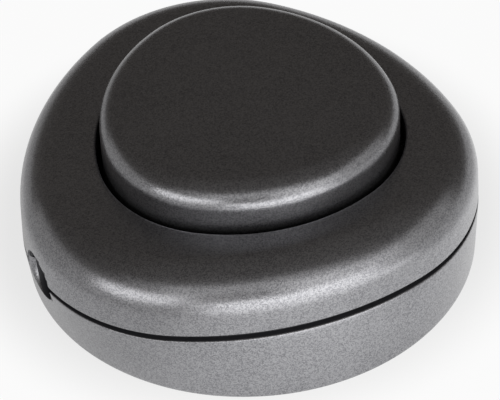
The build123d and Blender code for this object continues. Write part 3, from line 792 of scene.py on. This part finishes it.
modifier.node_group = driven_tree()
sockets = {item.name: item.identifier for item in modifier.node_group.interface.items_tree}
modifier[sockets["Screw"]] = screw
modifier[sockets["Seed"]] = screw_seed
modifier[sockets["Finish"]] = zinc
settle(cover_screws)
bpy.data.objects.remove(screw)
shade(cover_screws)
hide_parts("cover_screws")
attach(cover_screws, "housing")

# Floor. A pale matt sheet on a light table, so the eye sees it mixed with plain white. Next to the foot the
# glow is dimmed, a painted shadow of the object. In mirrors only, it also fades further out, a pool of light
# painted into the reflections, and dims towards the left, painted shade in the reflections. From below the
# sheet is clear.
floor_half = 1.5
table_glow = 0.95
# Painted pool of light in mirrors: full glow out to glow_near, fading to far_share at glow_far
glow_near = 0.052
glow_far = 0.082
far_share = 0.5
# Painted shadow next to the foot: the glow drops to a share of itself at the foot and is full again this far
# out
painted_shadow_end = 0.05
painted_shadow_share = 0.78
glow_back = 0.006
# Painted shade in mirrors towards the left: the glow is cut to a share left of these bounds
left_edge = -0.036
left_end = -0.013
painted_left_share = 0.6
floor_drop = 0.02 * mm
floor_mesh = bpy.data.meshes.new("floor")
corner_signs = ((-1, -1), (1, -1), (1, 1), (-1, 1))
floor_corners = [(x * floor_half, y * floor_half, -floor_drop) for x, y in corner_signs]
floor_mesh.from_pydata(floor_corners, [], [(0, 1, 2, 3)])
floor = new_piece("floor", floor_mesh)
table, tree, shader = new_material("white_light_table", metallic=0.0)
shader.inputs["Base Color"].default_value = linear("#f4f4f4")
shader.inputs["Roughness"].default_value = 1.0
shader.inputs["Specular IOR Level"].default_value = 0.0
spot = node(tree, "ShaderNodeTexCoord", output="Object")
away = node(tree, "ShaderNodeVectorMath", {0: spot, 1: (0, glow_back, 0)}, "Value", operation="DISTANCE")
# Painted pool of light in the reflections: the mirrored glow fades with distance from the middle
painted_glow_pool = node(
    tree,
    "ShaderNodeMapRange",
    {"Value": away, "From Min": glow_near, "From Max": glow_far, "To Min": 1.0, "To Max": far_share},
    interpolation_type="SMOOTHSTEP",
)
painted_shadow_start = foot_radius * mm
# Painted shadow of the object: the glow dims next to its foot
painted_shadow = node(
    tree,
    "ShaderNodeMapRange",
    {"Value": away, "From Min": painted_shadow_start, "From Max": painted_shadow_end, "To Min": painted_shadow_share, "To Max": 1.0},
    interpolation_type="SMOOTHSTEP",
)
across = node(tree, "ShaderNodeSeparateXYZ", {"Vector": spot}, "X")
# Painted shade in the reflections: the mirrored glow dims towards the left
painted_left_shade = node(
    tree,
    "ShaderNodeMapRange",
    {"Value": across, "From Min": left_edge, "From Max": left_end, "To Min": painted_left_share, "To Max": 1.0},
    interpolation_type="SMOOTHSTEP",
)
rays = tree.nodes.new("ShaderNodeLightPath").outputs
mirrored = node(tree, "ShaderNodeMath", {0: painted_glow_pool, 1: painted_left_shade}, operation="MULTIPLY")
mirrored = node(tree, "ShaderNodeMath", {0: mirrored, 1: rays["Is Glossy Ray"]}, operation="MULTIPLY")
seen = node(tree, "ShaderNodeMath", {0: rays["Is Camera Ray"], 1: mirrored}, operation="ADD")
through = rays["Is Transmission Ray"]
seen = node(tree, "ShaderNodeMath", {0: seen, 1: through}, operation="ADD", use_clamp=True)
# The painted shadow dims the glow that both the eye and the mirrors see
seen = node(tree, "ShaderNodeMath", {0: seen, 1: painted_shadow}, operation="MULTIPLY")
amount = node(tree, "ShaderNodeMath", {0: seen, 1: table_glow}, operation="MULTIPLY")
white = node(tree, "ShaderNodeEmission", {"Color": linear("#ffffff"), "Strength": 1.0})
mixed = node(tree, "ShaderNodeMixShader", {0: amount, 1: shader.outputs[0], 2: white})
under = node(tree, "ShaderNodeNewGeometry", output="Backfacing")
clear = node(tree, "ShaderNodeBsdfTransparent")
mixed = node(tree, "ShaderNodeMixShader", {0: under, 1: mixed, 2: clear})
tree.links.new(mixed, tree.nodes["Material Output"].inputs["Surface"])
floor_mesh.materials.append(table)

# Light. A low strip, a bright patch of the table and soft boxes stand round the front, the brightest at the
# front left and just right of the middle. The room overhead and behind is dim, so what faces up is dark.
aim = Vector((0, 0, 0.015))
# Turn and lift in degrees, distance, width and height in metres, and radiance, where 1 is white
soft_boxes = {
    "low_strip": (5, -1.5, 0.115, 0.11, 0.022, 2.0),
    "table_patch": (8, -9.5, 0.086, 0.085, 0.055, 1.15),
    "right_box": (25, 14, 0.5, 0.36, 0.24, 1.08),
    "left_box": (-50, 11, 0.5, 0.44, 0.20, 1.95),
    "middle_fill": (-10, 9, 0.5, 0.26, 0.18, 0.18),
    "left_high": (-44, 40, 0.6, 0.35, 0.20, 0.22),
    "front_panel": (-2, 35, 0.6, 0.60, 0.25, 0.62),
    "right_side": (68, 18, 0.6, 0.40, 0.36, 0.40),
    "left_side": (-110, 12, 0.6, 0.60, 0.26, 0.34),
    "ceiling": (40, 78, 0.7, 0.8, 0.8, 0.03),
}
lying_flat = "table_patch"
for name, (turn, lift, distance, width, height, radiance) in soft_boxes.items():
    lamp = bpy.data.lights.new(name, "AREA")
    lamp.shape = "RECTANGLE"
    lamp.size = width
    lamp.size_y = height
    lamp.energy = radiance * math.pi * width * height
    turn, lift = math.radians(turn), math.radians(lift)
    way = Vector((math.sin(turn) * math.cos(lift), -math.cos(turn) * math.cos(lift), math.sin(lift)))
    light = bpy.data.objects.new(name, lamp)
    light.location = aim + way * distance
    light.rotation_euler = way.to_track_quat("Z", "Y").to_euler()
    if name == lying_flat:
        light.rotation_euler = (math.pi, 0, turn)
    light.visible_camera = False
    bpy.context.scene.collection.objects.link(light)
world = bpy.context.scene.world or bpy.data.worlds.new("studio")
bpy.context.scene.world = world
world.use_nodes = True
room_colour = "#fff6ee"
room_level = 0.086
room = world.node_tree.nodes["Background"].inputs
room["Color"].default_value = linear(room_colour)
room["Strength"].default_value = room_level

# Camera. It stands where the photograph was taken from: a little left of the flat side and above it, far
# off with a long lens, rolled very slightly.
camera_azimuth = math.radians(-14.64)
camera_elevation = math.radians(42.63)
camera_roll = math.radians(-2.80)
camera_distance = 517.8
camera_target = Vector((-1.62, -6.23, 14.0))
camera_lens = 245.3
sensor_width = 36.0
clip_start = 0.01
camera_data = bpy.data.cameras.new("camera")
camera_data.sensor_width = sensor_width
camera_data.lens = camera_lens
camera_data.clip_start = clip_start
camera = bpy.data.objects.new("camera", camera_data)
level = math.cos(camera_elevation)
forward = Vector((-math.sin(camera_azimuth), math.cos(camera_azimuth), 0)) * level
forward.z = -math.sin(camera_elevation)
right = Vector((math.cos(camera_azimuth), math.sin(camera_azimuth), 0))
up = right.cross(forward)
roll_cos, roll_sin = math.cos(camera_roll), math.sin(camera_roll)
right, up = roll_cos * right + roll_sin * up, roll_cos * up - roll_sin * right
axes = Matrix((right, up, -forward)).transposed().to_4x4()
camera.matrix_world = Matrix.Translation((camera_target - forward * camera_distance) * mm) @ axes
bpy.context.scene.collection.objects.link(camera)
bpy.context.scene.camera = camera
bpy.context.scene.view_settings.view_transform = "Standard"
